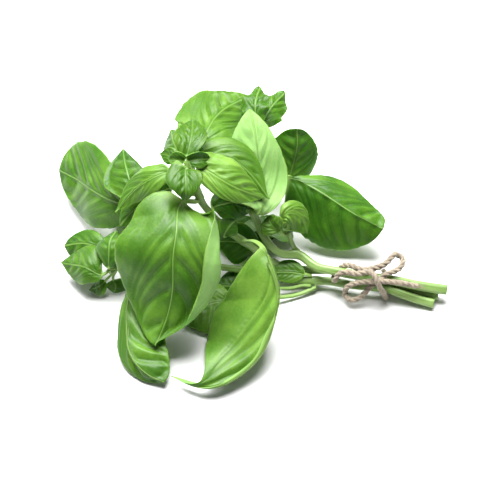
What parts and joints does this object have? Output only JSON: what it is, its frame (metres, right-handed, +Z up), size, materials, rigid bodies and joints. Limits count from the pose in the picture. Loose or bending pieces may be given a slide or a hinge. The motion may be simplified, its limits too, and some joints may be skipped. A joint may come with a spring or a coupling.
{
  "type": "basil bunch",
  "caption": "Small bunch of fresh sweet basil lying on its side, glossy domed leaves on slender green stems that are tied together near their cut ends with a bow of jute twine.",
  "frame": {"origin": "on the surface that the bunch lies on, under the middle of its outer box", "axes": "+X runs along the tied stems towards their cut ends, +Z is up from the surface, +Y points away from the two long front leaves"},
  "size_m": [0.1851, 0.1456, 0.0694],
  "materials": {
    "leaf": "satin",
    "stem": "satin",
    "twine": "matte"
  },
  "bodies": {
    "root": {"leaf_axil_left": "leaf", "leaf_axil_right": "leaf", "leaf_back_crinkled_left": "leaf", "leaf_back_crinkled_right": "leaf", "leaf_back_upright": "leaf", "leaf_crown_back": "leaf", "leaf_crown_back_left": "leaf", "leaf_crown_left": "leaf", "leaf_crown_left_lower": "leaf", "leaf_crown_right": "leaf", "leaf_crown_right_back": "leaf", "leaf_far_left": "leaf", "leaf_far_right": "leaf", "leaf_front_domed": "leaf", "leaf_front_left": "leaf", "leaf_front_long": "leaf", "leaf_inner_back": "leaf", "leaf_inner_front": "leaf", "leaf_inner_low": "leaf", "leaf_left_folded": "leaf", "leaf_low_centre": "leaf", "leaf_low_front": "leaf", "leaf_low_right": "leaf", "leaf_side_shoot_back": "leaf", "leaf_side_shoot_bud": "leaf", "leaf_side_shoot_front": "leaf", "leaf_side_shoot_low": "leaf", "leaf_side_shoot_upright": "leaf", "leaf_tip_back": "leaf", "leaf_tip_bud_left": "leaf", "leaf_tip_bud_right": "leaf", "leaf_tip_front": "leaf", "leaf_tip_side": "leaf", "leaf_turned_over": "leaf", "leaf_under_back": "leaf", "leaf_under_centre": "leaf", "leaf_under_front": "leaf", "leaf_under_left": "leaf", "leaf_under_right": "leaf", "stem_front": "stem", "stem_middle": "stem", "stem_upper": "stem", "twine": "twine"}
  },
  "joints": []
}
